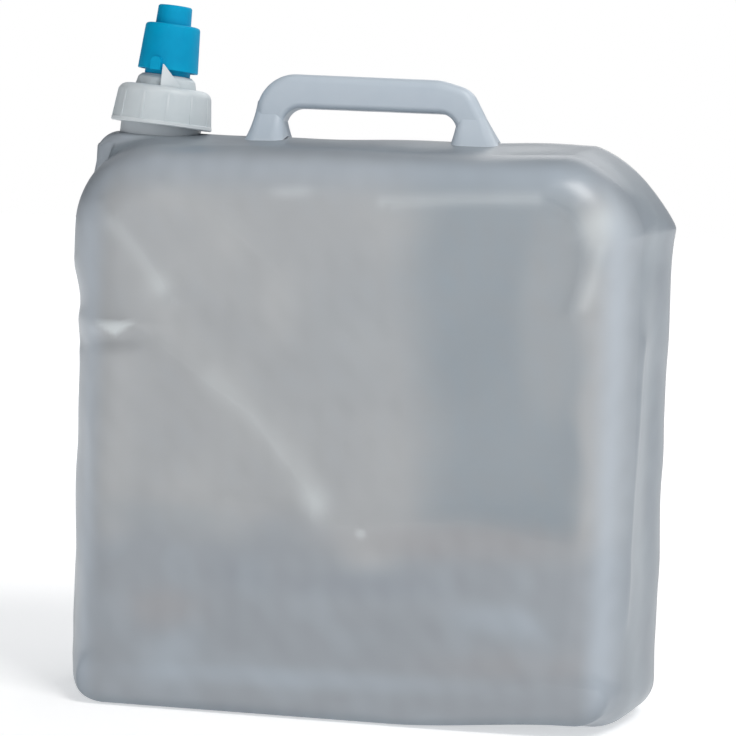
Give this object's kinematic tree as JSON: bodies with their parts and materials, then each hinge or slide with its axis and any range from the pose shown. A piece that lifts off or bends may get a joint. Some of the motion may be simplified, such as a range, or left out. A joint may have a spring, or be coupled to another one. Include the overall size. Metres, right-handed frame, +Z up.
{
  "type": "jerry can",
  "caption": "Upright boxy see-through plastic water can with a low carry handle on top and a corner neck closed by a white screw cap with a blue twist spout",
  "frame": {"origin": "centre of the can's base, on the surface it stands on", "axes": "+Z up; the front panel faces -Y; +X runs from the neck's end of the top to the far end"},
  "size_m": [0.332, 0.15, 0.3836],
  "materials": {
    "can_film": "thin blow-moulded low-density polyethylene, milky and see-through, softly shiny with dents",
    "neck_plastic": "thick milky polyethylene, half see-through",
    "handle_plastic": "solid milky polyethylene, satin",
    "cap_plastic": "white moulded polypropylene, satin",
    "seal_rubber": "soft pale grey rubber",
    "spout_plastic": "bright sky blue moulded polyethylene, satin"
  },
  "bodies": {
    "can": {"bladder": "can_film", "neck_ring": "neck_plastic", "carry_handle": "handle_plastic"},
    "cap_seal": {"cap_gasket": "seal_rubber"},
    "cap": {"screw_cap": "cap_plastic", "valve_core": "cap_plastic"},
    "spout_seal": {"spout_o_ring": "seal_rubber"},
    "spout": {"twist_spout": "spout_plastic"}
  },
  "joints": [
    {"name": "cap_lift", "type": "slide", "parent": "can", "child": "cap_seal", "axis": [0.0958, 0, 0.9954], "range_m": [0, 0.00799]},
    {"name": "cap_turn", "type": "hinge", "parent": "cap_seal", "child": "cap", "pos_m": [-0.124, 0, 0.3112], "axis": [0.0958, 0, 0.9954], "range_deg": [0, 720]},
    {"name": "spout_lift", "type": "slide", "parent": "cap", "child": "spout_seal", "axis": [0.0958, 0, 0.9954], "range_m": [-0.003, 0]},
    {"name": "spout_turn", "type": "hinge", "parent": "spout_seal", "child": "spout", "pos_m": [-0.124, 0, 0.3112], "axis": [0.0958, 0, 0.9954], "range_deg": [-270.5, 0]}
  ],
  "couplings": [
    {"joint": "cap_turn", "follows": "cap_lift", "rad_per_m": 1570.8},
    {"joint": "spout_turn", "follows": "spout_lift", "rad_per_m": 1570.8}
  ]
}
